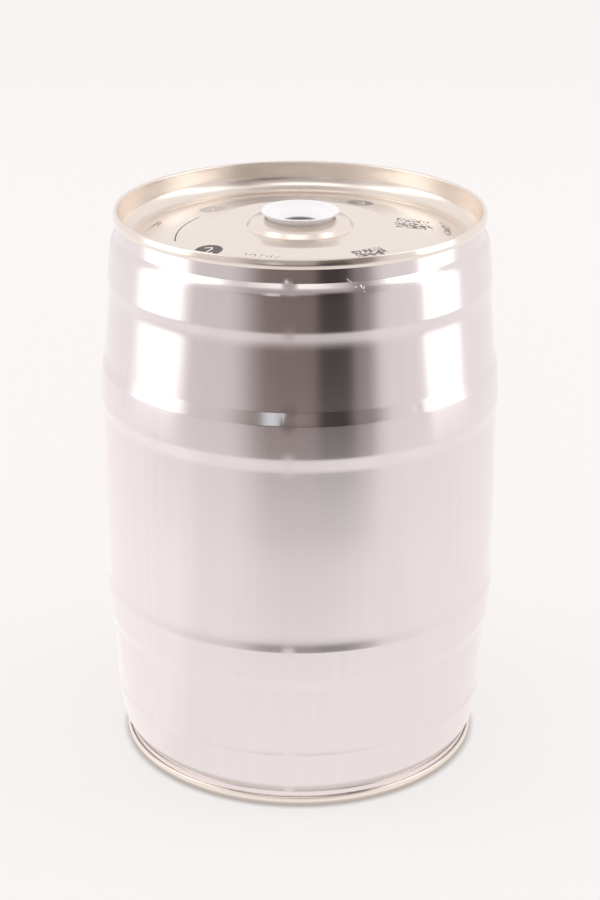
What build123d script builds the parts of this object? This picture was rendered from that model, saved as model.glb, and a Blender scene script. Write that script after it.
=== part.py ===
from build123d import *
import math
import os

# Five-litre tinplate keg with a pull-out tap. Millimetres; +Z is up, the keg stands on Z = 0
# with its axis on the origin, and the tap is in the wall's +Y side.

# Whole keg
KEG_HEIGHT = 250.0
BODY_SHEET = 0.30
END_SHEET = 0.33

# Double seam, the chime at each end
SEAM_RADIUS = 80.7
SEAM_HEIGHT = 4.2
SEAM_CREST_ROUND = 0.90
SEAM_FOOT_ROUND = 0.55
PLY_GAP = 0.10
COMPOUND_HEIGHT = 0.35
COMPOUND_WIDTH = 0.50
COMPOUND_CLEARANCE = 0.05
HOOK_TIP_ROOM = 0.40

# Wall, as lengths down from the chime and steps of radius from the neck outwards
NECK_LENGTH = 8.9
NECK_ROUND = 0.8
SHOULDER_LENGTH = 3.5
SHOULDER_RISE = 2.76
SHOULDER_ROUND = 7.5
END_BAND_LENGTH = 16.8
END_BAND_RISE = 1.6
CONE_STEP_LENGTH = 5.4
CONE_STEP_IN = 0.55
CONE_LENGTH = 27.2
CONE_RISE = 2.7
HOOP_STEP_LENGTH = 5.1
HOOP_STEP_OUT = 1.45
HOOP_STEP_ROUND = 3.0
HOOP_LENGTH = 14.7
HOOP_RISE = 0.9
BELT_STEP_LENGTH = 5.9
BELT_STEP_IN = 0.95
BULGE_RISE = 0.7
HOOP_CREST_ROUND = 4.0
HOOP_ROOT_ROUND = 9.0
BULGE_ROUND = 500.0

# Welded lap of the wall, left of the middle of the -Y side
WELD_WIDTH = 4.4
WELD_RISE = 0.10
WELD_AZIMUTH = 2.9

# End panel, as depths below the chime's crest
COUNTERSINK_DEPTH = 12.5
COUNTERSINK_ROUND = 3.6
CHUCK_WALL_TAPER = 0.30
APRON_RADIUS = 53.0
APRON_DEPTH = 9.4
PLATEAU_RADIUS = 37.7
PLATEAU_DEPTH = 6.3
PANEL_ROUND = 12.0

# Collar and hole for the bung in the top end
COLLAR_FOOT_RADIUS = 21.4
COLLAR_FOOT_ROUND = 1.5
COLLAR_WALL_HEIGHT = 2.0
COLLAR_WALL_LEAN = 1.2
COLLAR_SHOULDER_ROUND = 0.8
COLLAR_DEPTH = 2.0
COLLAR_RIM_WIDTH = 1.4
BUNG_HOLE_RADIUS = 15.2
BUNG_FLANGE_LENGTH = 3.6
BUNG_FLANGE_ROUND = 0.6

# Bung ring
BUNG_CLEARANCE = 0.05
BUNG_LIP_RADIUS = 16.9
BUNG_TOP_DEPTH = 0.4
BUNG_TOP_RADIUS = 14.0
BUNG_TOP_ROUND = 0.6
BUNG_FUNNEL_RADIUS = 10.7
BUNG_FUNNEL_DEPTH = 4.9
BUNG_THROAT_DEPTH = 6.9
BUNG_THROAT_RADIUS = 8.5
BUNG_THROAT_LENGTH = 3.2
BUNG_BEAD = 0.9
BUNG_BEAD_LENGTH = 1.6

# Tap: its place, and the seat pressed into the wall
TAP_HEIGHT = 48.0
SEAT_RADIUS = 21.0
SEAT_HOLE_CLEARANCE = 0.5
FACE_CLEARANCE = 0.3
KNOB_SETBACK = 0.2

# Tap housing, its gasket and its lock ring
GASKET_THICKNESS = 0.8
GASKET_MARGIN = 1.0
FLANGE_RADIUS = 18.5
FLANGE_THICKNESS = 1.8
FLANGE_ROUND = 0.6
HOUSING_RADIUS = 11.0
HOUSING_LENGTH = 22.5
BORE_RADIUS = 8.6
BORE_SEAL_INSET = 4.6
LOCK_RING_RADIUS = 15.5
LOCK_RING_THICKNESS = 2.8
LOCK_RING_CLEARANCE = 0.05
LOCK_NOTCHES = 6
LOCK_NOTCH_WIDTH = 3.0
LOCK_NOTCH_DEPTH = 1.6

# Sliding spout
SLIDE_CLEARANCE = 0.08
SLIDE_TRAVEL = 26.0
SLIDE_STOP_ROOM = 0.4
SLIDE_TAIL = 2.2
SLIDE_BORE_RADIUS = 5.6
SLIDE_COLLAR_RADIUS = 9.8
SLIDE_COLLAR_THICKNESS = 1.3
SLIDE_FRONT_WALL = 2.2
OUTLET_RADIUS = 3.0
OUTLET_SETBACK = 11.2
CLIP_RADIUS = 10.6
CLIP_THICKNESS = 1.0
CLIP_GROOVE_DEPTH = 0.9
CLIP_MOUTH_WIDTH = 9.0

# Rotary valve core, the seals and the knob
SEAL_SECTION = 1.3
CORE_SEAL_SECTION = 0.9
SEAL_CLEARANCE = 0.04
GROOVE_ROOM = 0.2
CORE_CLEARANCE = 0.06
CORE_LENGTH = 16.6
CORE_BORE_RADIUS = 3.4
CORE_SEAL_INSET = 2.6
STEM_RADIUS = 3.0
DRIVE_WIDTH = 4.0
DRIVE_LENGTH = 2.6
KNOB_RADIUS = 13.0
KNOB_DISC = 1.8
KNOB_BAR_WIDTH = 7.0
KNOB_BAR_HEIGHT = 2.6
KNOB_ROUND = 0.7

# Faces of the seam's five plies, from the outside in: end, body hook, end hook, wall, end
BODY_HOOK_RADIUS = SEAM_RADIUS - END_SHEET - PLY_GAP - BODY_SHEET
END_HOOK_RADIUS = BODY_HOOK_RADIUS - PLY_GAP - END_SHEET
NECK_RADIUS = END_HOOK_RADIUS - PLY_GAP
CHUCK_WALL_RADIUS = NECK_RADIUS - BODY_SHEET - PLY_GAP - END_SHEET
COMPOUND_TOP = END_SHEET + COMPOUND_CLEARANCE
BODY_HOOK_TOP = COMPOUND_TOP + COMPOUND_HEIGHT + COMPOUND_CLEARANCE + BODY_SHEET
BODY_HOOK_TIP = SEAM_HEIGHT - END_SHEET - HOOK_TIP_ROOM
END_HOOK_TIP = BODY_HOOK_TOP + HOOK_TIP_ROOM
BODY_HOOK_ROUND = 0.49 * (BODY_HOOK_RADIUS - NECK_RADIUS)

# Radii and depths of the wall's corners
SHOULDER_RADIUS = NECK_RADIUS + SHOULDER_RISE
END_BAND_RADIUS = SHOULDER_RADIUS + END_BAND_RISE
CONE_START_RADIUS = END_BAND_RADIUS - CONE_STEP_IN
CONE_END_RADIUS = CONE_START_RADIUS + CONE_RISE
HOOP_START_RADIUS = CONE_END_RADIUS + HOOP_STEP_OUT
WIDEST_RADIUS = HOOP_START_RADIUS + HOOP_RISE
BELT_RADIUS = WIDEST_RADIUS - BELT_STEP_IN
SHOULDER_DEPTH = NECK_LENGTH + SHOULDER_LENGTH
END_BAND_DEPTH = SHOULDER_DEPTH + END_BAND_LENGTH
CONE_START_DEPTH = END_BAND_DEPTH + CONE_STEP_LENGTH
CONE_END_DEPTH = CONE_START_DEPTH + CONE_LENGTH
HOOP_START_DEPTH = CONE_END_DEPTH + HOOP_STEP_LENGTH
HOOP_END_DEPTH = HOOP_START_DEPTH + HOOP_LENGTH
BELT_DEPTH = HOOP_END_DEPTH + BELT_STEP_LENGTH

# Faces of the tap along Y, from the knob's front back to the seat and the slide's tail
KNOB_FRONT = WIDEST_RADIUS - KNOB_SETBACK
KNOB_BACK = KNOB_FRONT - KNOB_BAR_HEIGHT - KNOB_DISC
SLIDE_FRONT = KNOB_BACK - FACE_CLEARANCE
FLANGE_FRONT = SLIDE_FRONT - SLIDE_COLLAR_THICKNESS - FACE_CLEARANCE
FLANGE_BACK = FLANGE_FRONT - FLANGE_THICKNESS
SEAT_FACE = FLANGE_BACK - GASKET_THICKNESS
SEAT_BACK = SEAT_FACE - BODY_SHEET
HOUSING_BACK = SEAT_BACK - HOUSING_LENGTH
CLIP_FRONT = HOUSING_BACK - SLIDE_TRAVEL - SLIDE_STOP_ROOM
CLIP_BACK = CLIP_FRONT - CLIP_THICKNESS
SLIDE_BACK = CLIP_BACK - SLIDE_TAIL
OUTLET_Y = SLIDE_FRONT - OUTLET_SETBACK
CORE_FRONT = SLIDE_FRONT - SLIDE_FRONT_WALL - FACE_CLEARANCE
CORE_BACK = CORE_FRONT - CORE_LENGTH
SLIDE_RADIUS = BORE_RADIUS - SLIDE_CLEARANCE
CORE_RADIUS = SLIDE_BORE_RADIUS - CORE_CLEARANCE
SEAT_HOLE_RADIUS = HOUSING_RADIUS + SEAT_HOLE_CLEARANCE

# The collar's wall leans in as it rises
COLLAR_SHOULDER_RADIUS = COLLAR_FOOT_RADIUS - COLLAR_WALL_LEAN

MID_PLANE = Plane.XY.offset(KEG_HEIGHT / 2)


def at_depth(radius, depth):
    """A point of a half section, given by its depth below the top chime's crest."""
    return (radius, KEG_HEIGHT - depth)


def tap_plane(y):
    """Plane across the tap's axis at y, facing out of the keg, with its own Y up."""
    return Plane(origin=(0, y, TAP_HEIGHT), x_dir=(-1, 0, 0), z_dir=(0, 1, 0))


def finish(piece, name):
    """Labels a finished piece and writes its STEP file."""
    piece.part.label = name
    export_step(piece.part, f"parts/{name}.step")


def wall_corners():
    """Corners of the wall's outer face and their rounds, from neck to neck, top first."""
    half = [
        (at_depth(NECK_RADIUS, NECK_LENGTH), NECK_ROUND),
        (at_depth(SHOULDER_RADIUS, SHOULDER_DEPTH), SHOULDER_ROUND),
        (at_depth(END_BAND_RADIUS, END_BAND_DEPTH), HOOP_CREST_ROUND),
        (at_depth(CONE_START_RADIUS, CONE_START_DEPTH), HOOP_ROOT_ROUND),
        (at_depth(CONE_END_RADIUS, CONE_END_DEPTH), HOOP_STEP_ROUND),
        (at_depth(HOOP_START_RADIUS, HOOP_START_DEPTH), HOOP_CREST_ROUND),
        (at_depth(WIDEST_RADIUS, HOOP_END_DEPTH), HOOP_CREST_ROUND),
        (at_depth(BELT_RADIUS, BELT_DEPTH), HOOP_ROOT_ROUND),
    ]
    middle = [(at_depth(BELT_RADIUS + BULGE_RISE, KEG_HEIGHT / 2), BULGE_ROUND)]
    lower = [((radius, KEG_HEIGHT - z), turn) for (radius, z), turn in reversed(half)]
    return half + middle + lower


def hooked_outline():
    """Points and rounds of the wall's outer face with the hook of the double seam at each end."""
    top_hook = [
        at_depth(BODY_HOOK_RADIUS, BODY_HOOK_TIP),
        at_depth(BODY_HOOK_RADIUS, BODY_HOOK_TOP),
        at_depth(NECK_RADIUS, BODY_HOOK_TOP),
    ]
    bottom_hook = [(radius, KEG_HEIGHT - z) for radius, z in reversed(top_hook)]
    corners = wall_corners()
    points = top_hook + [point for point, _ in corners] + bottom_hook
    hook_rounds = [BODY_HOOK_ROUND, BODY_HOOK_ROUND]
    return points, hook_rounds + [turn for _, turn in corners] + hook_rounds


def wall_face():
    """The wall's outer face as one line with rounded corners, from seam to seam."""
    corners = wall_corners()
    return FilletPolyline(
        at_depth(NECK_RADIUS, SEAM_HEIGHT),
        *[point for point, _ in corners],
        (NECK_RADIUS, SEAM_HEIGHT),
        radius=[turn for _, turn in corners],
    )


def seam_and_panel():
    """Points and rounds of an end's visible face, from its hook over the chime to the plateau."""
    points = [
        at_depth(END_HOOK_RADIUS, END_HOOK_TIP),
        at_depth(END_HOOK_RADIUS, SEAM_HEIGHT),
        at_depth(SEAM_RADIUS, SEAM_HEIGHT),
        at_depth(SEAM_RADIUS, 0),
        at_depth(CHUCK_WALL_RADIUS, 0),
        at_depth(CHUCK_WALL_RADIUS - CHUCK_WALL_TAPER, COUNTERSINK_DEPTH),
        at_depth(APRON_RADIUS, APRON_DEPTH),
        at_depth(PLATEAU_RADIUS, PLATEAU_DEPTH),
    ]
    rounds = [
        SEAM_FOOT_ROUND,
        SEAM_FOOT_ROUND,
        SEAM_CREST_ROUND,
        SEAM_CREST_ROUND,
        COUNTERSINK_ROUND,
        PANEL_ROUND,
        PANEL_ROUND,
    ]
    return points, rounds


# Wall: one sheet, rolled and welded, with its hooks and its swaged hoops
with BuildPart() as wall_form:
    with BuildSketch(Plane.XZ):
        with BuildLine():
            face = wall_face()
            Polyline(face @ 1, (0, SEAM_HEIGHT), (0, KEG_HEIGHT - SEAM_HEIGHT), face @ 0)
        make_face()
    revolve(axis=Axis.Z)

with BuildPart() as seat_cup:
    with BuildSketch(tap_plane(SEAT_BACK)):
        Circle(SEAT_RADIUS + BODY_SHEET)
    extrude(amount=WIDEST_RADIUS - SEAT_BACK)
    with BuildSketch(tap_plane(SEAT_FACE)):
        Circle(SEAT_RADIUS)
    extrude(amount=WIDEST_RADIUS - SEAT_FACE, mode=Mode.SUBTRACT)
    add(wall_form.part, mode=Mode.INTERSECT)

WELD_ARC = math.degrees(WELD_WIDTH / WIDEST_RADIUS)
weld_edge = math.radians(270 - WELD_AZIMUTH - WELD_ARC / 2)
weld_plane = Plane(
    origin=(0, 0, 0),
    x_dir=(math.cos(weld_edge), math.sin(weld_edge), 0),
    z_dir=(math.sin(weld_edge), -math.cos(weld_edge), 0),
)

with BuildPart() as weld_lap:
    with BuildSketch(weld_plane):
        with BuildLine():
            offset(wall_face(), amount=WELD_RISE, side=Side.LEFT)
        make_face()
    revolve(axis=Axis.Z, revolution_arc=WELD_ARC)

with BuildPart() as barrel_body:
    with BuildSketch(Plane.XZ):
        with BuildLine():
            wall_points, wall_rounds = hooked_outline()
            wall = FilletPolyline(*wall_points, radius=wall_rounds)
            offset(wall, amount=BODY_SHEET, side=Side.RIGHT)
        make_face()
    revolve(axis=Axis.Z)
    with BuildSketch(tap_plane(SEAT_BACK)):
        Circle(SEAT_RADIUS + BODY_SHEET / 2)
    extrude(amount=WIDEST_RADIUS - SEAT_BACK, mode=Mode.SUBTRACT)
    add(seat_cup.part)
    with BuildSketch(tap_plane(SEAT_BACK)):
        Circle(SEAT_HOLE_RADIUS)
    extrude(amount=BODY_SHEET, mode=Mode.SUBTRACT)
    add(weld_lap.part)

finish(barrel_body, "barrel_body")


# Ends: pressed panels whose rims close the double seams
with BuildPart() as top_end:
    with BuildSketch(Plane.XZ):
        with BuildLine():
            end_points, end_rounds = seam_and_panel()
            collar_points = [
                at_depth(COLLAR_FOOT_RADIUS, PLATEAU_DEPTH),
                at_depth(COLLAR_SHOULDER_RADIUS, PLATEAU_DEPTH - COLLAR_WALL_HEIGHT),
                at_depth(BUNG_HOLE_RADIUS + COLLAR_RIM_WIDTH, COLLAR_DEPTH),
                at_depth(BUNG_HOLE_RADIUS, COLLAR_DEPTH),
                at_depth(BUNG_HOLE_RADIUS, COLLAR_DEPTH + BUNG_FLANGE_LENGTH),
            ]
            collar_rounds = [
                COLLAR_FOOT_ROUND,
                COLLAR_SHOULDER_ROUND,
                COLLAR_RIM_WIDTH / 2,
                BUNG_FLANGE_ROUND,
            ]
            top_face = FilletPolyline(
                *end_points, *collar_points, radius=end_rounds + collar_rounds
            )
            offset(top_face, amount=END_SHEET, side=Side.LEFT)
        make_face()
    revolve(axis=Axis.Z)

finish(top_end, "top_end")

with BuildPart() as bottom_end:
    with BuildSketch(Plane.XZ):
        with BuildLine():
            end_points, end_rounds = seam_and_panel()
            centre = at_depth(0, PLATEAU_DEPTH)
            bottom_face = FilletPolyline(*end_points, centre, radius=end_rounds)
            offset(bottom_face, amount=END_SHEET, side=Side.LEFT)
        make_face()
    revolve(axis=Axis.Z)
    mirror(about=MID_PLANE, mode=Mode.REPLACE)

finish(bottom_end, "bottom_end")

# Sealing compound: a thin rubber ring in the crest of each seam
COMPOUND_RADIUS = (BODY_HOOK_RADIUS + NECK_RADIUS) / 2

with BuildPart() as top_seam_compound:
    with BuildSketch(Plane.XZ):
        with Locations(at_depth(COMPOUND_RADIUS, COMPOUND_TOP + COMPOUND_HEIGHT / 2)):
            Rectangle(COMPOUND_WIDTH, COMPOUND_HEIGHT)
    revolve(axis=Axis.Z)

finish(top_seam_compound, "top_seam_compound")

with BuildPart() as bottom_seam_compound:
    add(top_seam_compound.part)
    mirror(about=MID_PLANE, mode=Mode.REPLACE)

finish(bottom_seam_compound, "bottom_seam_compound")

# Bung ring: soft plastic, its lip on the collar and its bead under the collar's flange
BUNG_NECK_RADIUS = BUNG_HOLE_RADIUS - BUNG_CLEARANCE
BUNG_LIP_BACK = COLLAR_DEPTH - BUNG_CLEARANCE
BUNG_BEAD_TOP = COLLAR_DEPTH + BUNG_FLANGE_LENGTH + BUNG_CLEARANCE
BUNG_THROAT_END = BUNG_THROAT_DEPTH + BUNG_THROAT_LENGTH

with BuildPart() as bung_ring:
    with BuildSketch(Plane.XZ):
        with BuildLine():
            Polyline(
                at_depth(BUNG_TOP_RADIUS, BUNG_TOP_DEPTH),
                at_depth(BUNG_LIP_RADIUS, BUNG_TOP_DEPTH),
                at_depth(BUNG_LIP_RADIUS, BUNG_LIP_BACK),
                at_depth(BUNG_NECK_RADIUS, BUNG_LIP_BACK),
                at_depth(BUNG_NECK_RADIUS, BUNG_BEAD_TOP),
                at_depth(BUNG_NECK_RADIUS + BUNG_BEAD, BUNG_BEAD_TOP),
                at_depth(BUNG_NECK_RADIUS, BUNG_BEAD_TOP + BUNG_BEAD_LENGTH),
                at_depth(BUNG_FUNNEL_RADIUS, BUNG_THROAT_END),
                at_depth(BUNG_THROAT_RADIUS, BUNG_THROAT_END),
                at_depth(BUNG_THROAT_RADIUS, BUNG_THROAT_DEPTH),
                at_depth(BUNG_FUNNEL_RADIUS, BUNG_FUNNEL_DEPTH),
                close=True,
            )
        make_face()
        crest = vertices().group_by(Axis.Y)[-1]
        fillet(crest, BUNG_TOP_ROUND)
    revolve(axis=Axis.Z)

finish(bung_ring, "bung_ring")

# Tap housing: flange, guide tube through the wall, and two seal grooves in its bore
FRONT_SEAL_Y = FLANGE_FRONT - BORE_SEAL_INSET
REAR_SEAL_Y = HOUSING_BACK + BORE_SEAL_INSET

with BuildPart() as tap_gasket:
    with BuildSketch(tap_plane(SEAT_FACE)):
        Circle(FLANGE_RADIUS - GASKET_MARGIN)
        Circle(SEAT_HOLE_RADIUS, mode=Mode.SUBTRACT)
    extrude(amount=GASKET_THICKNESS)

finish(tap_gasket, "tap_gasket")

with BuildPart() as tap_housing:
    with BuildSketch(tap_plane(FLANGE_BACK)):
        Circle(FLANGE_RADIUS)
    extrude(amount=FLANGE_THICKNESS)
    rim = edges().filter_by(GeomType.CIRCLE).sort_by(Axis.Y)[-1]
    fillet(rim, FLANGE_ROUND)
    with BuildSketch(tap_plane(HOUSING_BACK)):
        Circle(HOUSING_RADIUS)
    extrude(amount=FLANGE_FRONT - HOUSING_BACK)
    with BuildSketch(tap_plane(HOUSING_BACK)):
        Circle(BORE_RADIUS)
    extrude(amount=FLANGE_FRONT - HOUSING_BACK, mode=Mode.SUBTRACT)
    for seal_y in (FRONT_SEAL_Y, REAR_SEAL_Y):
        with BuildSketch(tap_plane(seal_y)):
            Circle(SLIDE_RADIUS + SEAL_CLEARANCE + SEAL_SECTION + SEAL_CLEARANCE)
        extrude(amount=SEAL_SECTION / 2 + GROOVE_ROOM, both=True, mode=Mode.SUBTRACT)

finish(tap_housing, "tap_housing")

with BuildPart() as tap_lock_ring:
    with BuildSketch(tap_plane(SEAT_BACK)):
        Circle(LOCK_RING_RADIUS)
        Circle(HOUSING_RADIUS + LOCK_RING_CLEARANCE, mode=Mode.SUBTRACT)
        with PolarLocations(LOCK_RING_RADIUS, LOCK_NOTCHES):
            Rectangle(2 * LOCK_NOTCH_DEPTH, LOCK_NOTCH_WIDTH, mode=Mode.SUBTRACT)
    extrude(amount=-LOCK_RING_THICKNESS)

finish(tap_lock_ring, "tap_lock_ring")


def seal_ring(y, inner_radius, section):
    """An O-ring round the tap's axis at y, of the given section and inner radius."""
    with BuildPart() as ring:
        with BuildSketch(Plane.YZ):
            with Locations((y, TAP_HEIGHT + inner_radius + section / 2)):
                Circle(section / 2)
        revolve(axis=TAP_AXIS)
    return ring


# Housing seals: they stay in the housing while the spout slides through them
TAP_AXIS = Axis((0, 0, TAP_HEIGHT), (0, 1, 0))
housing_seal_front = seal_ring(FRONT_SEAL_Y, SLIDE_RADIUS + SEAL_CLEARANCE, SEAL_SECTION)
finish(housing_seal_front, "housing_seal_front")
housing_seal_rear = seal_ring(REAR_SEAL_Y, SLIDE_RADIUS + SEAL_CLEARANCE, SEAL_SECTION)
finish(housing_seal_rear, "housing_seal_rear")

# Sliding spout: a tube with its outlet underneath, a stop collar in front and a clip behind
with BuildPart() as tap_slide:
    with BuildSketch(tap_plane(SLIDE_BACK)):
        Circle(SLIDE_RADIUS)
    extrude(amount=SLIDE_FRONT - SLIDE_BACK)
    with BuildSketch(tap_plane(SLIDE_FRONT)):
        Circle(SLIDE_COLLAR_RADIUS)
    extrude(amount=-SLIDE_COLLAR_THICKNESS)
    with BuildSketch(tap_plane(SLIDE_BACK)):
        Circle(SLIDE_BORE_RADIUS)
    extrude(amount=SLIDE_FRONT - SLIDE_FRONT_WALL - SLIDE_BACK, mode=Mode.SUBTRACT)
    with BuildSketch(tap_plane(SLIDE_FRONT)):
        Circle(STEM_RADIUS + CORE_CLEARANCE)
    extrude(amount=-SLIDE_FRONT_WALL, mode=Mode.SUBTRACT)
    with BuildSketch(tap_plane(CLIP_BACK)):
        Circle(SLIDE_RADIUS)
        Circle(SLIDE_RADIUS - CLIP_GROOVE_DEPTH, mode=Mode.SUBTRACT)
    extrude(amount=CLIP_THICKNESS, mode=Mode.SUBTRACT)
    with BuildSketch(Plane.XY.offset(TAP_HEIGHT)):
        with Locations((0, OUTLET_Y)):
            Circle(OUTLET_RADIUS)
    extrude(amount=-SLIDE_RADIUS, mode=Mode.SUBTRACT)

finish(tap_slide, "tap_slide")

with BuildPart() as slide_clip:
    with BuildSketch(tap_plane(CLIP_BACK)):
        Circle(CLIP_RADIUS)
        Circle(SLIDE_RADIUS - CLIP_GROOVE_DEPTH, mode=Mode.SUBTRACT)
        with Locations((0, -CLIP_RADIUS)):
            Rectangle(CLIP_MOUTH_WIDTH, 2 * CLIP_RADIUS, mode=Mode.SUBTRACT)
    extrude(amount=CLIP_THICKNESS)

finish(slide_clip, "slide_clip")

# Valve core: a rotary plug whose side port meets the spout's outlet after a quarter turn
CORE_SEAL_RADIUS = SLIDE_BORE_RADIUS - SEAL_CLEARANCE - CORE_SEAL_SECTION
FRONT_CORE_SEAL_Y = CORE_FRONT - CORE_SEAL_INSET
REAR_CORE_SEAL_Y = CORE_BACK + CORE_SEAL_INSET

with BuildPart() as valve_core:
    with BuildSketch(tap_plane(CORE_BACK)):
        Circle(CORE_RADIUS)
    extrude(amount=CORE_LENGTH)
    with BuildSketch(tap_plane(CORE_FRONT)):
        Circle(STEM_RADIUS)
    extrude(amount=KNOB_BACK - CORE_FRONT)
    with BuildSketch(tap_plane(KNOB_BACK)):
        Rectangle(DRIVE_WIDTH, DRIVE_WIDTH)
    extrude(amount=DRIVE_LENGTH)
    for seal_y in (FRONT_CORE_SEAL_Y, REAR_CORE_SEAL_Y):
        with BuildSketch(tap_plane(seal_y)):
            Circle(CORE_RADIUS)
            Circle(CORE_SEAL_RADIUS - SEAL_CLEARANCE, mode=Mode.SUBTRACT)
        extrude(amount=CORE_SEAL_SECTION / 2 + GROOVE_ROOM, both=True, mode=Mode.SUBTRACT)
    with BuildSketch(tap_plane(CORE_BACK)):
        Circle(CORE_BORE_RADIUS)
    extrude(amount=OUTLET_Y + OUTLET_RADIUS - CORE_BACK, mode=Mode.SUBTRACT)
    with BuildSketch(Plane.YZ):
        with Locations((OUTLET_Y, TAP_HEIGHT)):
            Circle(OUTLET_RADIUS)
    extrude(amount=CORE_RADIUS, mode=Mode.SUBTRACT)

finish(valve_core, "valve_core")

core_seal_front = seal_ring(FRONT_CORE_SEAL_Y, CORE_SEAL_RADIUS, CORE_SEAL_SECTION)
finish(core_seal_front, "core_seal_front")
core_seal_rear = seal_ring(REAR_CORE_SEAL_Y, CORE_SEAL_RADIUS, CORE_SEAL_SECTION)
finish(core_seal_rear, "core_seal_rear")

# Knob: a disc with a grip bar, on the core's square drive
with BuildPart() as tap_knob:
    with BuildSketch(tap_plane(KNOB_BACK)):
        Circle(KNOB_RADIUS)
    extrude(amount=KNOB_DISC)
    with BuildSketch(tap_plane(KNOB_BACK + KNOB_DISC)):
        SlotOverall(2 * (KNOB_RADIUS - KNOB_ROUND), KNOB_BAR_WIDTH)
    extrude(amount=KNOB_BAR_HEIGHT)
    fillet(edges().group_by(Axis.Y)[-1], KNOB_ROUND)
    with BuildSketch(tap_plane(KNOB_BACK)):
        Rectangle(DRIVE_WIDTH + 2 * CORE_CLEARANCE, DRIVE_WIDTH + 2 * CORE_CLEARANCE)
    extrude(amount=DRIVE_LENGTH + CORE_CLEARANCE, mode=Mode.SUBTRACT)

finish(tap_knob, "tap_knob")
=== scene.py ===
import math

import bpy
from mathutils import Matrix, Vector


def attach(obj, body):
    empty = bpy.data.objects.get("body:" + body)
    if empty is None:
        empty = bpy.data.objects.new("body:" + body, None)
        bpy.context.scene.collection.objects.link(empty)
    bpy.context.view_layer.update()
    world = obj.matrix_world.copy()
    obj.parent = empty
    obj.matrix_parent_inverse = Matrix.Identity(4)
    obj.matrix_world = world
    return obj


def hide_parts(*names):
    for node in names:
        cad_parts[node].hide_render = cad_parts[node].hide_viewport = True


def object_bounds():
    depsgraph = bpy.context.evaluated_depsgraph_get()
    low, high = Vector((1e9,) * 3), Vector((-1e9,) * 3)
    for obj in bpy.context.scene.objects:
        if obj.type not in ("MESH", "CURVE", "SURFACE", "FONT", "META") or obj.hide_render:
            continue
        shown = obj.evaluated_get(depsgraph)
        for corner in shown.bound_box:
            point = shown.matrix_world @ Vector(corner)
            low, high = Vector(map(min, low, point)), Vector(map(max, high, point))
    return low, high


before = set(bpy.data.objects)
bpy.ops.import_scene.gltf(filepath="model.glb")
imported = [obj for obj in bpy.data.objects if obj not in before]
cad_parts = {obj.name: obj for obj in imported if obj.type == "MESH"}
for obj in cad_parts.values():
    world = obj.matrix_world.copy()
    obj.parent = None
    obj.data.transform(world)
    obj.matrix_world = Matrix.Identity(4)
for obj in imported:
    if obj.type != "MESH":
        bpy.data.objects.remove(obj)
cad_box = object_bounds()

# ---------------------------------------------------------------------------------------------
# Camera: a short telephoto lens on a full frame body, looking down at the keg from the side
# away from its tap. It leans to its side by a sixth of a degree.
# ---------------------------------------------------------------------------------------------
CAMERA_PLACE = (0.00023, -0.88394, 0.4918)
CAMERA_TILT = 68.108
CAMERA_LEAN = 0.168
FOCAL_LENGTH = 84.4
SENSOR_WIDTH = 36

camera_data = bpy.data.cameras.new("camera")
camera_data.lens = FOCAL_LENGTH
camera_data.sensor_width = SENSOR_WIDTH
camera = bpy.data.objects.new("camera", camera_data)
camera.location = CAMERA_PLACE
tilted = Matrix.Rotation(math.radians(CAMERA_TILT), 3, "X")
leaning = Matrix.Rotation(math.radians(CAMERA_LEAN), 3, "Z")
camera.rotation_euler = (tilted @ leaning).to_euler()
bpy.context.scene.collection.objects.link(camera)
bpy.context.scene.camera = camera
bpy.context.scene.view_settings.view_transform = "Standard"


# ---------------------------------------------------------------------------------------------
# Studio: a white table, tall soft boxes at both sides and above, and behind the camera a dim
# room, a person and a lit screen that the metal mirrors. None of it is part of the keg.
# ---------------------------------------------------------------------------------------------
PAPER_WHITE = (0.930, 0.896, 0.888, 1)
MATT_LIGHT = (0.80, 0.775, 0.77, 1)

# The room's parts, as the metal mirrors them.
LEFT_WALL = (0.72, 0.68, 0.68, 1)
RIGHT_WALL = (0.86, 0.82, 0.82, 1)
BACKDROP = (0.98, 0.95, 0.95, 1)
DIM_ROOM = (0.21, 0.165, 0.155, 1)
CEILING = (0.95, 0.93, 0.925, 1)
CABINET = (0.29, 0.25, 0.245, 1)
PERSON = (0.046, 0.037, 0.039, 1)
SCREEN = (0.85, 0.93, 0.96, 1)
CEILING_LIGHT = (1.8, 1.76, 1.72, 1)
BACKDROP_GAP = (0.26, 0.235, 0.23, 1)
ZENITH = (0.5, 0.47, 0.46, 1)
SIDE_SOFT_BOX = (1.9, 1.87, 1.83, 1)

# The table as the eye sees it: its colours, and the radii between which they change.
TABLE_SIZE = 12
TABLE_PAPER = (0.93, 0.90, 0.893, 1)
TABLE_GLOW = 0.7
GLOW_FAR = (0.996, 0.969, 0.960, 1)
GLOW_NEAR = (0.924, 0.905, 0.902, 1)
# A painted contact shadow darkens the glow round the keg's foot.
GLOW_PAINTED_SHADOW = (0.42, 0.39, 0.38, 1)
GLOW_REACH = (0.2, 1.2)
# Radii over which the painted contact shadow fades.
GLOW_SHADOW_REACH = (0.0795, 0.0838)

# The same as the metal mirrors it. Far out it gives way to the room, in two steps.
MIRRORED_FRONT = (0.875, 0.85, 0.845, 1)
MIRRORED_BACK = (0.96, 0.94, 0.93, 1)
MIRRORED_NEAR = (1.01, 0.985, 0.975, 1)
MIRRORED_LEFT = (1.09, 1.06, 1.05, 1)
MIRRORED_RIGHT = (1.02, 0.99, 0.98, 1)
# A painted contact shadow round the keg's foot, as the metal mirrors it.
MIRRORED_PAINTED_SHADOW = (0.48, 0.43, 0.39, 1)
MIRRORED_NEAR_REACH = (0.12, 0.30)
# Radii over which that painted contact shadow fades.
MIRRORED_SHADOW_REACH = (0.0785, 0.0850)
ROOM_REACH = (0.22, 0.85)
ROOM_LAST_REACH = (0.8, 1.5)
ROOM_LAST_SHARE = 0.15
MIRROR_HEIGHT = 0.2

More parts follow.
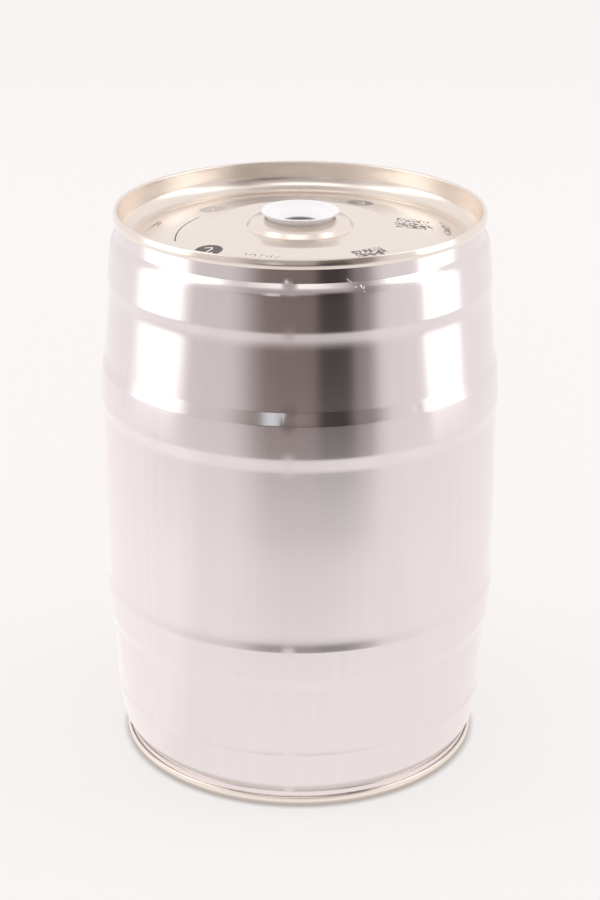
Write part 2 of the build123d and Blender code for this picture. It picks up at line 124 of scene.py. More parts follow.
# A lamp: its name, its place, its width and height, and its watts.
LAMP_AIM = Vector((0, 0, 0.12))
LAMPS = (
    ("left_soft_box", (-1.1, 0.1, 0.7), 0.8, 1.0, 3),
    ("right_soft_box", (1.1, 0.1, 0.7), 0.8, 1.0, 3),
    ("top_soft_box", (0, -0.1, 1.4), 1.2, 1.2, 4),
)


class Shade:
    """A shader socket. Operators on it add Math nodes, and node() adds any other kind."""

    def __init__(self, tree, socket=None):
        self.tree = tree
        self.socket = socket

    def node(self, kind, settings, inputs, output=0):
        """Adds a node: its settings first, then the values or links of its sockets."""
        made = self.tree.nodes.new(kind)
        for name, value in settings.items():
            setattr(made, name, value)
        for key, value in inputs.items():
            if isinstance(value, Shade):
                self.tree.links.new(value.socket, made.inputs[key])
            else:
                made.inputs[key].default_value = value
        return Shade(self.tree, made.outputs[output])

    def math(self, operation, *values):
        """Adds a Math node."""
        inputs = dict(enumerate(values))
        return self.node("ShaderNodeMath", {"operation": operation}, inputs)

    def __add__(self, other):
        return self.math("ADD", self, other)

    __radd__ = __add__

    def __sub__(self, other):
        return self.math("SUBTRACT", self, other)

    def __rsub__(self, other):
        return self.math("SUBTRACT", other, self)

    def __mul__(self, other):
        return self.math("MULTIPLY", self, other)

    __rmul__ = __mul__

    def __truediv__(self, other):
        return self.math("DIVIDE", self, other)

    def __abs__(self):
        return self.math("ABSOLUTE", self)

    def rise(self, low, high):
        """0 below low, 1 above high, with a smooth step between."""
        inputs = {"Value": self, "From Min": low, "From Max": high}
        settings = {"interpolation_type": "SMOOTHSTEP"}
        return self.node("ShaderNodeMapRange", settings, inputs)

    def window(self, low, high, soft):
        """1 between low and high, 0 outside, with edges that are soft wide."""
        middle = (low + high) / 2
        reach = (high - low) / 2
        return 1 - abs(self - middle).rise(reach - soft / 2, reach + soft / 2)

    def mix(self, first, second):
        """first where this is 0, second where it is 1, as colours."""
        settings = {"data_type": "RGBA"}
        inputs = {0: self, 6: first, 7: second}
        return self.node("ShaderNodeMix", settings, inputs, 2)

    def split(self):
        """The three parts of a vector."""
        parts = self.tree.nodes.new("ShaderNodeSeparateXYZ")
        self.tree.links.new(self.socket, parts.inputs[0])
        return [Shade(self.tree, socket) for socket in parts.outputs]

    def place(self):
        """The place on the piece, in its own metres."""
        return self.node("ShaderNodeTexCoord", {}, {}, "Object")

    def ray(self, kind):
        """1 for rays of a kind, such as Is Camera Ray."""
        return self.node("ShaderNodeLightPath", {}, {}, kind)


def material(name, constants):
    """A new Principled material with its plain sockets set: the material, shader and shade."""
    made = bpy.data.materials.new(name)
    made.use_nodes = True
    shader = made.node_tree.nodes["Principled BSDF"]
    for socket, value in constants.items():
        shader.inputs[socket].default_value = value
    return made, shader, Shade(made.node_tree)


def wear(piece, made):
    """Gives a piece one material."""
    piece.data.materials.clear()
    piece.data.materials.append(made)


def length(along, across):
    """Length of the long side over two sides at a right angle."""
    return along.math("SQRT", along * along + across * across)


def direction_angles(x, y, z):
    """Azimuth and elevation, in degrees, of a direction; azimuth 0 is the camera's side."""
    azimuth = x.math("ARCTAN2", x, 0 - y) * math.degrees(1)
    elevation = x.math("ARCTAN2", z, length(x, y)) * math.degrees(1)
    return azimuth, elevation


def room_seen_by_metal(azimuth, elevation):
    """Colour of the room in a direction. All its angles are in degrees."""
    colour = azimuth.rise(-20, 20).mix(LEFT_WALL, RIGHT_WALL)
    colour = abs(azimuth).rise(72, 112).mix(colour, BACKDROP)
    slant = elevation * 0.3
    dim = (azimuth + slant).rise(-43, -19) * (1 - (azimuth - slant).rise(33, 54))
    colour = dim.mix(colour, DIM_ROOM)
    ceiling = elevation.rise(6, 16) * 0.35 + elevation.rise(30, 60) * 0.65
    colour = ceiling.mix(colour, CEILING)
    cabinet = (azimuth - elevation * 0.2).window(27, 42, 8) * (1 - elevation.rise(50, 62))
    colour = cabinet.mix(colour, CABINET)
    person = azimuth.window(10, 30, 5) * (1 - elevation.rise(12, 28))
    colour = person.mix(colour, PERSON)
    screen = azimuth.window(-20, -11, 4) * elevation.window(3, 15, 4)
    colour = screen.mix(colour, SCREEN)
    overhead = azimuth.window(-42, 23, 12) * elevation.window(48, 64, 6)
    colour = overhead.mix(colour, CEILING_LIGHT)
    behind = abs(azimuth).rise(158, 172) * (1 - elevation.rise(-2, 11))
    colour = (behind * 0.6).mix(colour, BACKDROP_GAP)
    colour = elevation.rise(66, 76).mix(colour, ZENITH)
    lean = elevation.rise(14, 40) * 14
    beside = (azimuth - lean).window(-104, -70, 14) + (azimuth + lean).window(75, 103, 6)
    return (beside * elevation.window(-14, 54, 8)).mix(colour, SIDE_SOFT_BOX)


def light_world():
    """White to the camera, an even grey light to matt surfaces, the room to mirrors."""
    world = bpy.data.worlds.new("studio")
    world.use_nodes = True
    bpy.context.scene.world = world
    tree = world.node_tree
    tree.nodes.clear()
    shade = Shade(tree)
    direction = shade.node("ShaderNodeTexCoord", {}, {})
    azimuth, elevation = direction_angles(*direction.split())
    room = room_seen_by_metal(azimuth, elevation)
    colour = shade.ray("Is Glossy Ray").mix(MATT_LIGHT, room)
    colour = shade.ray("Is Camera Ray").mix(colour, PAPER_WHITE)
    background = shade.node("ShaderNodeBackground", {}, {"Color": colour})
    output = tree.nodes.new("ShaderNodeOutputWorld")
    tree.links.new(background.socket, output.inputs["Surface"])


def table_seen_by_metal(x, y):
    """Colour of the table at a place: a painted shadow beside the keg, and fading into the room far
    out.

    The room's colour there is that in the direction from MIRROR_HEIGHT over the middle.
    """
    reach = length(x, y)
    azimuth, elevation = direction_angles(x, y, -MIRROR_HEIGHT)
    far = abs(azimuth).rise(5, 40).mix(MIRRORED_FRONT, MIRRORED_BACK)
    colour = reach.rise(*MIRRORED_NEAR_REACH).mix(MIRRORED_NEAR, far)
    side = azimuth.rise(-20, 20).mix(MIRRORED_LEFT, MIRRORED_RIGHT)
    colour = abs(azimuth).rise(48, 66).mix(colour, side)
    # Painted contact shadow round the keg's foot, in what the metal mirrors.
    colour = reach.rise(*MIRRORED_SHADOW_REACH).mix(MIRRORED_PAINTED_SHADOW, colour)
    beyond = reach.rise(*ROOM_REACH) * (1 - ROOM_LAST_SHARE)
    beyond = beyond + reach.rise(*ROOM_LAST_REACH) * ROOM_LAST_SHARE
    return beyond.mix(colour, room_seen_by_metal(azimuth, elevation))


def lay_table():
    """The white table: lit, with real and painted shadow, to the eye; brighter near the keg to the
    metal.
    """
    bpy.ops.mesh.primitive_plane_add(size=TABLE_SIZE)
    table = bpy.context.object
    table.name = "table"
    made, shader, shade = material(
        "table_white", {"Roughness": 0.9, "Specular IOR Level": 0, "Base Color": TABLE_PAPER}
    )
    tree = made.node_tree
    x, y, _ = shade.place().split()
    mirrored = shade.node("ShaderNodeEmission", {}, {"Color": table_seen_by_metal(x, y)})
    reach = length(x, y)
    white = reach.rise(*GLOW_REACH).mix(GLOW_NEAR, GLOW_FAR)
    # Painted contact shadow: the glow is darkened round the keg's foot.
    white = reach.rise(*GLOW_SHADOW_REACH).mix(GLOW_PAINTED_SHADOW, white)
    glow = shade.node("ShaderNodeEmission", {}, {"Color": white})
    lit = Shade(tree, shader.outputs[0])
    paper = shade.node("ShaderNodeMixShader", {}, {0: TABLE_GLOW, 1: lit, 2: glow})
    glossy_ray = shade.ray("Is Glossy Ray")
    camera_ray = shade.ray("Is Camera Ray")
    other = shade.node("ShaderNodeMixShader", {}, {0: glossy_ray, 1: lit, 2: mirrored})
    mixed = shade.node("ShaderNodeMixShader", {}, {0: camera_ray, 1: other, 2: paper})
    tree.links.new(mixed.socket, tree.nodes["Material Output"].inputs["Surface"])
    wear(table, made)


def add_lamp(name, place, width, height, watts):
    """A soft box at a place, facing the middle of the keg, that mirrors don't show."""
    data = bpy.data.lights.new(name, "AREA")
    data.shape = "RECTANGLE"
    data.size = width
    data.size_y = height
    data.energy = watts
    lamp = bpy.data.objects.new(name, data)
    lamp.location = place
    aim = LAMP_AIM - Vector(place)
    lamp.rotation_euler = aim.to_track_quat("-Z", "Y").to_euler()
    lamp.visible_camera = False
    lamp.visible_glossy = False
    bpy.context.scene.collection.objects.link(lamp)


light_world()
lay_table()
for lamp_values in LAMPS:
    add_lamp(*lamp_values)


# ---------------------------------------------------------------------------------------------
# Wall: one sheet of tinplate, rolled, lap welded and swaged into four hoops. Its ends are
# hooked into the double seams, and the tap's round seat is pressed into it low at the back.
# ---------------------------------------------------------------------------------------------
KEG_HEIGHT = cad_box[1][2]
BODY_SHEET = 0.0003
END_SHEET = 0.00033
PLY_GAP = 0.0001
SEAM_RADIUS = 0.0807
SEAM_HEIGHT = 0.0042
BODY_HOOK_RADIUS = SEAM_RADIUS - END_SHEET - PLY_GAP - BODY_SHEET
END_HOOK_RADIUS = BODY_HOOK_RADIUS - PLY_GAP - END_SHEET
NECK_RADIUS = END_HOOK_RADIUS - PLY_GAP
CHUCK_WALL_RADIUS = NECK_RADIUS - BODY_SHEET - PLY_GAP - END_SHEET

# The outer face's corners: radius, depth below the rim or height above the foot, and round.
UPPER_HALF = (
    (NECK_RADIUS, 0.0042, 0.0002),
    (0.0800, 0.0100, 0.0006),
    (0.08220, 0.0133, 0.0080),
    (0.08365, 0.0298, 0.008),
    (0.08310, 0.0349, 0.025),
    (0.08585, 0.0629, 0.003),
    (0.08730, 0.0683, 0.004),
    (0.08830, 0.0830, 0.007),
    (0.08735, 0.0880, 0.011),
    (0.08805, 0.1250, 0.5),
)
LOWER_HALF = (
    (0.08742, 0.0843, 0.026),
    (0.08830, 0.0793, 0.002),
    (0.08740, 0.0655, 0.004),
    (0.08590, 0.0600, 0.003),
    (0.08390, 0.0295, 0.012),
    (0.08434, 0.0271, 0.0012),
    (0.08215, 0.0124, 0.012),
    (NECK_RADIUS, 0.0066, 0.0005),
)
ROUND_STEPS = 7
LONGEST_STEP = 0.0022
TURN_STEPS = 256
MERGE_DISTANCE = 1e-6
SHARP_CORNER = 1e-7
SMOOTH_ANGLE = 50

LAP_AZIMUTH = -2.9
LAP_HALF_ANGLE = 1.43
LAP_EDGE_ANGLE = 0.07
LAP_RISE = 0.000008
LAP_SOFT_ANGLE = 2.7
LAP_SOFT_HEIGHT = 0.0022
LAP_SOFT_SAMPLES = 4

TAP_HEIGHT = 0.048
SEAT_RADIUS = 0.021
SEAT_FACE = 0.0792
SEAT_HOLE_RADIUS = 0.0115
SEAT_SKIRT = 0.0022
SEAT_EDGE_ROUND = 0.0010
SEAT_EDGE_STEPS = 6
SEAT_FOOT_ROUND = 0.0008
SEAT_FOOT_STEPS = 5
SEAT_FLAT_MARGIN = 0.0006
SEAT_TURN_STEPS = 128
SEAT_CUT_RADIUS = SEAT_RADIUS + 0.0021
SEAT_CUT_MIDDLE = 0.0865
SEAT_CUT_DEPTH = 0.03


def rounded(corners, steps):
    """Outline through (radius, height, round) corners, each round an arc of that radius."""
    outline = [Vector(corners[0][:2])]
    for before, corner, after in zip(corners, corners[1:], corners[2:]):
        point = Vector(corner[:2])
        back = (Vector(before[:2]) - point).normalized()
        on = (Vector(after[:2]) - point).normalized()
        half = back.angle(on) / 2
        reach = corner[2] / math.tan(half)
        if reach < SHARP_CORNER:
            outline.append(point)
            continue
        centre = point + (back + on).normalized() * corner[2] / math.sin(half)
        start = point + back * reach - centre
        turn = (point + on * reach - centre).angle_signed(start)
        for step in range(steps + 1):
            outline.append(centre + Matrix.Rotation(turn * step / steps, 2) @ start)
    outline.append(Vector(corners[-1][:2]))
    return outline


def spaced(outline, longest):
    """The outline with points added, so that none of its steps is longer than longest."""
    dense = [outline[0]]
    for here, there in zip(outline, outline[1:]):
        parts = max(1, math.ceil((there - here).length / longest))
        dense += [here.lerp(there, part / parts) for part in range(1, parts + 1)]
    return dense


def draw_outline(name, outline):
    """A chain of edges through (radius, height) points, drawn in the XZ plane."""
    bpy.ops.object.select_all(action="DESELECT")
    first = (outline[0].x, 0, outline[0].y)
    bpy.ops.mesh.primitive_circle_add(vertices=3, radius=0.001, location=first)
    piece = bpy.context.object
    piece.name = name
    bpy.ops.object.mode_set(mode="EDIT")
    bpy.ops.mesh.merge(type="CENTER")
    for here, there in zip(outline, outline[1:]):
        move = {"value": (there.x - here.x, 0, there.y - here.y)}
        bpy.ops.mesh.extrude_vertices_move(TRANSFORM_OT_translate=move)
    bpy.ops.object.mode_set(mode="OBJECT")
    bpy.ops.object.transform_apply(location=True, rotation=False, scale=False)
    return piece


def turn_outline(piece, sweep, steps):
    """Turns a drawn outline about Z, through sweep degrees."""
    turned = piece.modifiers.new("turned", "SCREW")
    turned.angle = math.radians(sweep)
    turned.steps = turned.render_steps = steps
    bpy.ops.object.modifier_apply(modifier="turned")


def join(pieces):
    """Joins pieces into the first of them, merges what meets, and turns all faces outwards."""
    bpy.ops.object.select_all(action="DESELECT")
    for piece in pieces:
        piece.select_set(True)
    bpy.context.view_layer.objects.active = pieces[0]
    if len(pieces) > 1:
        bpy.ops.object.join()
    bpy.ops.object.transform_apply(location=True, rotation=True, scale=True)
    bpy.ops.object.mode_set(mode="EDIT")
    bpy.ops.mesh.select_all(action="SELECT")
    bpy.ops.mesh.remove_doubles(threshold=MERGE_DISTANCE)
    bpy.ops.mesh.normals_make_consistent(inside=False)
    bpy.ops.object.mode_set(mode="OBJECT")
    bpy.ops.object.shade_smooth_by_angle(angle=math.radians(SMOOTH_ANGLE))
    return pieces[0]


def lathe(name, outline, sectors=((0, 360, TURN_STEPS),)):
    """Turns an outline about Z; each sector is its first angle, its sweep and its steps."""
    parts = []
    for first, sweep, steps in sectors:
        part = draw_outline(name, outline)
        turn_outline(part, sweep, steps)
        part.rotation_euler.z = math.radians(first)
        parts.append(part)
    return join(parts)


def wall_face():
    """The sheet's outer face from the top seam down to the bottom one."""
    upper = [(radius, KEG_HEIGHT - depth, turn) for radius, depth, turn in UPPER_HALF]
    ends = SEAM_HEIGHT / 2
    corners = [(NECK_RADIUS, KEG_HEIGHT - ends, 0), *upper, *LOWER_HALF, (NECK_RADIUS, ends, 0)]
    return rounded(corners, ROUND_STEPS)


def radius_at(height, face):
    """Radius of the outer face at a height."""
    for upper, lower in zip(face, face[1:]):
        if lower.y <= height <= upper.y and upper.y > lower.y:
            return lower.lerp(upper, (height - lower.y) / (upper.y - lower.y)).x
    return face[0].x


def weld_lap(wall, face):
    """Raises the lap where the sheet's edges are welded; the hoops run softer across it."""
    samples = range(-LAP_SOFT_SAMPLES, LAP_SOFT_SAMPLES + 1)
    shifts = [LAP_SOFT_HEIGHT * sample / LAP_SOFT_SAMPLES for sample in samples]
    softened = {}
    for vertex in wall.data.vertices:
        x, y, z = vertex.co
        aside = abs(math.degrees(math.atan2(x, -y)) - LAP_AZIMUTH)
        if aside > LAP_SOFT_ANGLE or not SEAM_HEIGHT < z < KEG_HEIGHT - SEAM_HEIGHT:
            continue
        if z not in softened:
            here = radius_at(z, face)
            near = sum(radius_at(z + shift, face) for shift in shifts) / len(shifts)
            softened[z] = here, near - here
        here, change = softened[z]
        radius = math.hypot(x, y)
        outside = radius > here - BODY_SHEET / 2
        lap = LAP_RISE if outside and aside < LAP_HALF_ANGLE else 0
        moved = radius + lap + change * (1 - (aside / LAP_SOFT_ANGLE) ** 2) ** 2
        vertex.co.x *= moved / radius
        vertex.co.y *= moved / radius


def model_wall():
    """The turned sheet with its weld lap, still without the tap's seat.

    Its plainer inside has every third point of its outside. Its sectors are the soft margin,
    the edge, the lap, the other edge and margin, and the rest of the turn.
    """
    face = wall_face()
    outer = spaced(face, LONGEST_STEP)
    plain_face = [face[0]] + face[1:-1:3] + [face[-1]]
    inner = [Vector((point.x - BODY_SHEET, point.y)) for point in plain_face]
    outline = outer + inner[::-1] + outer[:1]
    margin = LAP_SOFT_ANGLE - LAP_HALF_ANGLE
    edge = LAP_EDGE_ANGLE
    first = LAP_AZIMUTH - 90 - LAP_SOFT_ANGLE
    sectors = (
        (first, margin - edge, 4),
        (first + margin - edge, 2 * edge, 1),
        (first + margin + edge, 2 * (LAP_HALF_ANGLE - edge), 8),
        (first + margin + 2 * LAP_HALF_ANGLE - edge, 2 * edge, 1),
        (first + margin + 2 * LAP_HALF_ANGLE + edge, margin - edge, 4),
        (first + 2 * LAP_SOFT_ANGLE, 360 - 2 * LAP_SOFT_ANGLE, 252),
    )
    made = lathe("wall", outline, sectors)
    weld_lap(made, face)
    return made, face


def seat_section():
    """Half the seat's section, as radii and stations, from the wall in to the tap's hole.

    A station up to the edge's round is a depth below the sheet. From there to 1 it is a share
    of the tube, past 1 it adds the angle of the foot's round, and at 3 it is the flat.
    """
    mouth = SEAT_RADIUS + SEAT_EDGE_ROUND
    section = [(mouth + SEAT_SKIRT, 0), (mouth + SEAT_SKIRT / 2, 0), (mouth, 0)]
    for step in range(1, SEAT_EDGE_STEPS + 1):
        turn = math.radians(90) * step / SEAT_EDGE_STEPS
        depth = SEAT_EDGE_ROUND * (1 - math.cos(turn))
        section.append((mouth - SEAT_EDGE_ROUND * math.sin(turn), depth))
    section += [(SEAT_RADIUS, 0.6), (SEAT_RADIUS, 1)]
    for step in range(1, SEAT_FOOT_STEPS + 1):
        turn = math.radians(90) * step / SEAT_FOOT_STEPS
        section.append((SEAT_RADIUS - SEAT_FOOT_ROUND * (1 - math.cos(turn)), 1 + turn))
    flat_radius = SEAT_RADIUS - SEAT_FOOT_ROUND - SEAT_FLAT_MARGIN
    section += [(flat_radius, 3), (SEAT_HOLE_RADIUS, 3)]
    return [Vector(point) for point in section]


def model_tap_seat(face):
    """The pressed seat: its drawn edge on the wall, its short tube, its flat and its hole."""
    seat = draw_outline("tap_seat", seat_section())
    turn_outline(seat, 360, SEAT_TURN_STEPS)
    for vertex in seat.data.vertices:
        x, z, station = vertex.co
        skin = math.sqrt(radius_at(TAP_HEIGHT + z, face) ** 2 - x * x)
        if station <= SEAT_EDGE_ROUND:
            y = skin - station
        elif station <= 1:
            edge = skin - SEAT_EDGE_ROUND
            y = edge * (1 - station) + (SEAT_FACE + SEAT_FOOT_ROUND) * station
        elif station < 3:
            y = SEAT_FACE + SEAT_FOOT_ROUND * (1 - math.sin(station - 1))
        else:
            y = SEAT_FACE
        vertex.co = (x, y, TAP_HEIGHT + z)
    seat = join([seat])
    sheet = seat.modifiers.new("sheet", "SOLIDIFY")
    sheet.thickness = BODY_SHEET
    sheet.offset = -1
    bpy.ops.object.modifier_apply(modifier="sheet")
    return seat


def cut_seat(wall, face):
    """Cuts the wall round the seat, and joins the seat into it."""
    bpy.ops.object.select_all(action="DESELECT")
    bpy.ops.mesh.primitive_cylinder_add(
        vertices=SEAT_TURN_STEPS,
        radius=SEAT_CUT_RADIUS,
        depth=SEAT_CUT_DEPTH,
        location=(0, SEAT_CUT_MIDDLE, TAP_HEIGHT),
        rotation=(math.radians(90), 0, 0),
    )
    cutter = bpy.context.object
    bpy.context.view_layer.objects.active = wall
    cut = wall.modifiers.new("cut", "BOOLEAN")
    cut.operation = "DIFFERENCE"
    cut.solver = "MANIFOLD"
    cut.object = cutter
    bpy.ops.object.modifier_apply(modifier="cut")
    bpy.data.objects.remove(cutter)
    return join([wall, model_tap_seat(face)])


# Satin tinplate: its tones, the scales of its noises, its small dent and its nicks. A nick is
# its place round the shoulder, its depth below the rim, its length, its width and its turn.
TIN_DARK = (0.79, 0.73, 0.73, 1)
TIN_PALE = (0.83, 0.77, 0.77, 1)
NICK_BRIGHT = (1.0, 0.97, 0.95, 1)
TIN_GRAIN = 1150
TIN_CLOUDS = 24
TIN_STREAKS = (260, 260, 9)
TIN_RELIEF = 7e-6
SHOULDER_RADIUS = 0.0822
DENT_AROUND = 0.04872
DENT_BELOW_RIM = 0.06605
DENT_RADIUS = 0.0030
NICKS = (
    (0.0200, 0.0091, 0.0015, 0.0006, -50),
    (0.0211, 0.0098, 0.0009, 0.0005, -45),
    (0.0229, 0.0119, 0.0011, 0.0003, 0),
    (0.0252, 0.0117, 0.0010, 0.0005, -60),
    (0.0261, 0.0124, 0.0012, 0.0004, 50),
    (0.0262, 0.0138, 0.0006, 0.0005, 0),
)
STROKE_SOFTNESS = 0.0003


def feed(shader, socket, shade):
    """Links a shade to a socket of the shader."""
    shade.tree.links.new(shade.socket, shader.inputs[socket])


def feed_bump(shader, height, depth):
    """Gives the shader a relief, depth metres deep where height is 1."""
    bump = height.node("ShaderNodeBump", {}, {"Height": height, "Distance": depth})
    feed(shader, "Normal", bump)


def noise(place, scale, detail=2):
    """Smooth random values over a place."""
    inputs = {"Vector": place, "Scale": scale, "Detail": detail}
    return place.node("ShaderNodeTexNoise", {}, inputs, "Fac")


def streaked(place, scales):
    """Noise that is drawn out, with a scale for each axis."""
    stretched = place.node("ShaderNodeVectorMath", {"operation": "MULTIPLY"}, {0: place, 1: scales})
    return noise(stretched, 1, 3)


def distance(x, y, x0, y0):
    """How far a place is from a point."""
    return length(x - x0, y - y0)


def turned_axes(x, y, x0, y0, turn):
    """A place as seen from x0, y0 along axes turned by turn degrees."""
    cosine, sine = math.cos(math.radians(turn)), math.sin(math.radians(turn))
    along = (x - x0) * cosine + (y - y0) * sine
    across = (y - y0) * cosine - (x - x0) * sine
    return along, across


def stroke(x, y, x0, y0, long, wide, turn):
    """1 on a straight stroke or a box with its middle at x0, y0, turned by turn degrees."""
    along, across = turned_axes(x, y, x0, y0, turn)
    inside = along.window(-long / 2, long / 2, STROKE_SOFTNESS)
    return inside * across.window(-wide / 2, wide / 2, STROKE_SOFTNESS)


def tinplate_wall():
    """Satin tinplate: a fine grain, faint streaks down the sheet, nicks and a small dent."""
    made, shader, shade = material("satin_tinplate", {"Metallic": 1.0})
    place = shade.place()
    x, y, z = place.split()
    grain = noise(place, TIN_GRAIN)
    streaks = streaked(place, TIN_STREAKS)
    clouds = noise(place, TIN_CLOUDS)
    around = shade.math("ARCTAN2", x, 0 - y) * SHOULDER_RADIUS
    nicks = 0 * z
    for centre, depth, long, wide, turn in NICKS:
        nicks = nicks + stroke(around, z, centre, KEG_HEIGHT - depth, long, wide, turn)
    nicks = shade.math("MINIMUM", nicks, 1)
    feed(shader, "Base Color", nicks.mix(streaks.mix(TIN_DARK, TIN_PALE), NICK_BRIGHT))
    rough = 0.135 + 0.02 * grain + 0.03 * streaks + 0.015 * clouds
    feed(shader, "Roughness", rough + 0.35 * nicks)
    dent = 1 - distance(around, z, DENT_AROUND, KEG_HEIGHT - DENT_BELOW_RIM).rise(0, DENT_RADIUS)
    feed_bump(shader, 0.55 * grain + 0.9 * streaks - 12 * dent + 4 * nicks, TIN_RELIEF)
    return made


wall, wall_outline = model_wall()
wall = cut_seat(wall, wall_outline)
wear(wall, tinplate_wall())
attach(wall, "keg")
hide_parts("barrel_body")


# ---------------------------------------------------------------------------------------------
# Ends: pressed tinplate with a pale gold lacquer. The rim of each is rolled into the double
# seam; the top one has a raised collar round its bung hole, and plain marks printed on it.
# ---------------------------------------------------------------------------------------------
TOP_PANEL_DEPTH = 0.0078
BOTTOM_PANEL_DEPTH = 0.0063
PANEL_EDGE = (0.0788, 0.0792)
END_ROUND_STEPS = 8
END_LONGEST_STEP = 0.002

# The bung collar's corners, from its foot up to its rim and down its hole: radius, depth, round.
COLLAR = (
    (0.0234, 0.0084, 0.0003),
    (0.0216, 0.0062, 0.0010),
    (0.0150, 0.0045, 0.0006),
    (0.0150, 0.0060, 0),
)

LACQUER_DARK = (0.845, 0.77, 0.705, 1)
LACQUER_PALE = (0.875, 0.80, 0.735, 1)
LACQUER_GRAIN = 900
LACQUER_ROLLING = (40, 700, 300)
LACQUER_RELIEF = 3e-6
PRINT_COLOUR = (0.060, 0.045, 0.048, 1)
PRINT_EDGE = (0.0700, 0.0705)
PRINT_FLOOR = (KEG_HEIGHT - 0.0125, KEG_HEIGHT - 0.0115)

# A digit's bars: place from the dot's middle, length and turn.
BAR_WIDTH = 0.0009
DIGITS = {
    1: ((0, 0, 0.0062, 90), (-0.0010, 0.0024, 0.0020, 40)),
    2: (
        (0, 0.0030, 0.0034, 0),
        (0.0014, 0.0018, 0.0026, 90),
        (0, -0.0008, 0.0046, 52),
        (0, -0.0030, 0.0038, 0),
    ),
    3: (
        (0, 0.0030, 0.0034, 0),
        (0, 0, 0.0026, 0),
        (0, -0.0030, 0.0034, 0),
        (0.0015, 0, 0.0062, 90),
    ),
}
# A dot: its digit, place and strength of ink. The ink fades between the two radii.
DOT_EDGE = (0.0059, 0.0063)
DOTS = (
    (2, -0.0383, -0.0356, 0.95),
    (1, -0.0388, 0.0267, 0.38),
    (3, 0.0269, 0.0377, 0.75),
)
# An arc: centre, radius, middle angle, half angle and width.
ARCS = (
    (-0.0018, -0.0160, 0.0514, 165, 19, 0.0006),
    (0.0120, -0.0210, 0.0825, 161, 7.2, 0.0010),
)
# A stroke: middle, length, width and turn. The first two make the arrow's head.
STROKES = (
    (-0.0617, 0.0112, 0.0062, 0.0008, 76),
    (-0.0640, 0.0128, 0.0042, 0.0008, 20),
    (-0.0224, -0.0426, 0.0024, 0.0005, 80),
    (-0.0204, -0.0433, 0.0026, 0.0005, 20),
    (-0.0186, -0.0440, 0.0024, 0.0005, 100),
    (-0.0160, -0.0447, 0.0026, 0.0005, 60),
    (-0.0138, -0.0455, 0.0022, 0.0005, -30),
    (-0.0118, -0.0461, 0.0026, 0.0005, 70),
    (-0.0094, -0.0469, 0.0024, 0.0005, 30),
)
# A field of random cells: middle, width, height, turn, a cell's width and height, share inked.
FIELDS = (
    (0.0300, -0.0405, 0.0150, 0.0110, 30, 0.0010, 0.0010, 0.55),
    (0.0495, 0.0010, 0.0165, 0.0080, 3, 0.0010, 0.0010, 0.50),
    (0.0495, 0.0090, 0.0150, 0.0070, 3, 0.0006, 0.0012, 0.30),
    (0.0640, 0.0060, 0.0040, 0.0220, 4, 0.0012, 0.0007, 0.40),
)
STROKE_INK = 0.8
FIELD_INK = 0.85


def seam_and_panel(middle_depth):
    """An end's visible face from its hook over the chime: radius, depth and round."""
    return [
        (END_HOOK_RADIUS, 0.0016, 0),
        (END_HOOK_RADIUS, SEAM_HEIGHT, 0.00039),
        (SEAM_RADIUS - 0.00035, SEAM_HEIGHT, 0.0004),
        (SEAM_RADIUS, 0.0027, 0.0015),
        (SEAM_RADIUS, 0.0021, 0.0006),
        (SEAM_RADIUS - 0.0006, 0, 0.0006),
        (CHUCK_WALL_RADIUS, 0, 0.0009),
        (CHUCK_WALL_RADIUS - 0.0002, 0.0132, 0.0068),
        (0.0718, 0.0132, 0.0003),
        (0.0530, 0.0094, 0.012),
        (0.0377, middle_depth, 0.012),
    ]


def sheet_outline(face, thickness, steps, longest):
    """A closed outline of a sheet: its face, and the same line moved to the left of it."""
    front = spaced(rounded(face, steps), longest)
    back = []
    for number, point in enumerate(front):
        before = front[max(number - 1, 0)]
        after = front[min(number + 1, len(front) - 1)]
        along = (after - before).normalized()
        back.append(point + Vector((-along.y, along.x)) * thickness)
    return front + back[::-1] + front[:1]


def dot_ink(x, y, digit, dot_x, dot_y, strength):
    """A round dot with its digit left clear."""
    dot = 1 - distance(x, y, dot_x, dot_y).rise(*DOT_EDGE)
    clear = 0 * x
    for bar_x, bar_y, long, turn in DIGITS[digit]:
        clear = clear + stroke(x, y, dot_x + bar_x, dot_y + bar_y, long, BAR_WIDTH, turn)
    return strength * dot * (1 - x.math("MINIMUM", clear, 1))


def arc_ink(x, y, centre_x, centre_y, radius, middle, half, width):
    """A thin arc, half degrees to each side of its middle."""
    along, across = turned_axes(x, y, centre_x, centre_y, middle)
    apart = distance(x, y, centre_x, centre_y)
    line = apart.window(radius - width / 2, radius + width / 2, 0.0002)
    turn = x.math("ARCTAN2", across, along) * math.degrees(1)
    return line * turn.window(-half, half, 0.3)


def field_ink(x, y, field_x, field_y, wide, high, turn, cell_wide, cell_high, fill):
    """A field of cells, each inked by chance."""
    along, across = turned_axes(x, y, field_x, field_y, turn)
    column = along / cell_wide
    row = across / cell_high
    whole = {0: column.math("FLOOR", column), 1: row.math("FLOOR", row)}
    cell = x.node("ShaderNodeCombineXYZ", {}, whole)
    chance = x.node("ShaderNodeTexWhiteNoise", {}, {"Vector": cell}, "Value")
    inside = stroke(x, y, field_x, field_y, wide, high, turn)
    return inside * (1 - chance.rise(fill - 0.01, fill + 0.01)) * FIELD_INK


def printed_marks(x, y):
    """Plain marks in dark ink: numbered dots, arcs, an arrow, dashes and fields of cells."""
    ink = 0 * x
    for dot in DOTS:
        ink = ink + dot_ink(x, y, *dot)
    for arc in ARCS:
        ink = ink + arc_ink(x, y, *arc)
    for mark in STROKES:
        ink = ink + STROKE_INK * stroke(x, y, *mark)
    for field in FIELDS:
        ink = ink + field_ink(x, y, *field)
    return x.math("MINIMUM", ink, 1)


